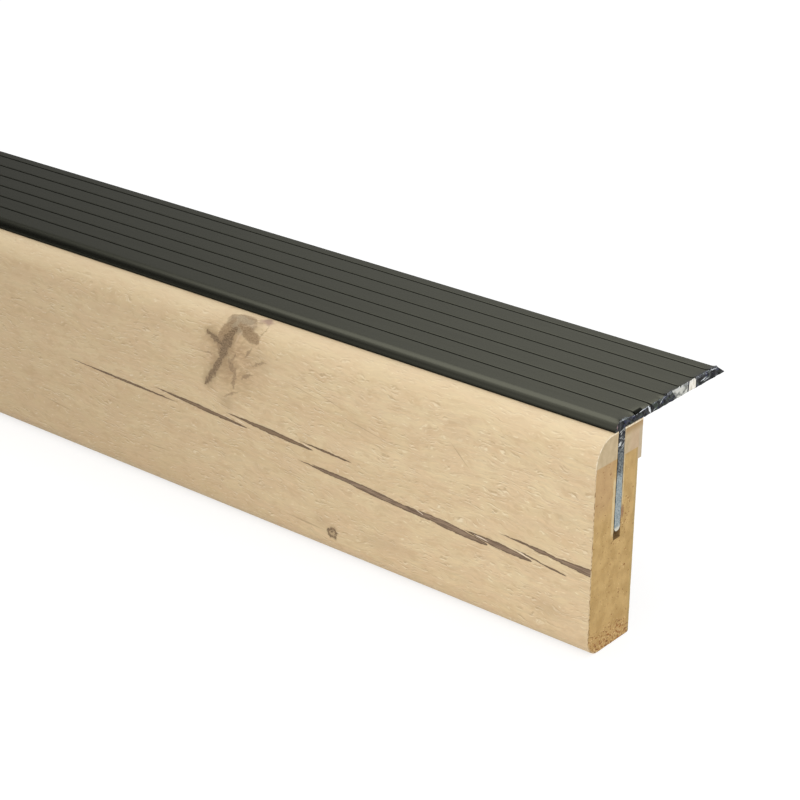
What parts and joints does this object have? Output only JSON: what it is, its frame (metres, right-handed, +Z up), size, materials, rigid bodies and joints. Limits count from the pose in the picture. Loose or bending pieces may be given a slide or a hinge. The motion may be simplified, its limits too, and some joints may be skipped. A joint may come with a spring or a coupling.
{
  "type": "stair nosing",
  "caption": "Straight stair nosing: oak-look wooden edge board with a rounded front, topped by a grooved dark aluminium anti-slip flange that lies on the tread.",
  "frame": {"origin": "on the bottom edge of the board, at the middle of its thickness and of its length", "axes": "+X along the nosing, +Y from the decor face back over the step, +Z up"},
  "size_m": [1.3, 0.0535, 0.0585],
  "materials": {
    "anodised_aluminium": "satin, anodised dark olive grey, bare metal on the sawn ends",
    "brown_fibreboard": "raw, sawn and sanded, with dark fibre specks",
    "pale_fibreboard": "raw, fine and even",
    "oak_decor": "matt, printed oak with cracks and knots"
  },
  "bodies": {
    "root": {"aluminium_profile": "anodised_aluminium", "core_board": "brown_fibreboard", "nose_strip_front": "pale_fibreboard", "nose_strip_back": "pale_fibreboard", "decor_sheet_front": "oak_decor", "decor_sheet_back": "oak_decor"}
  },
  "joints": []
}
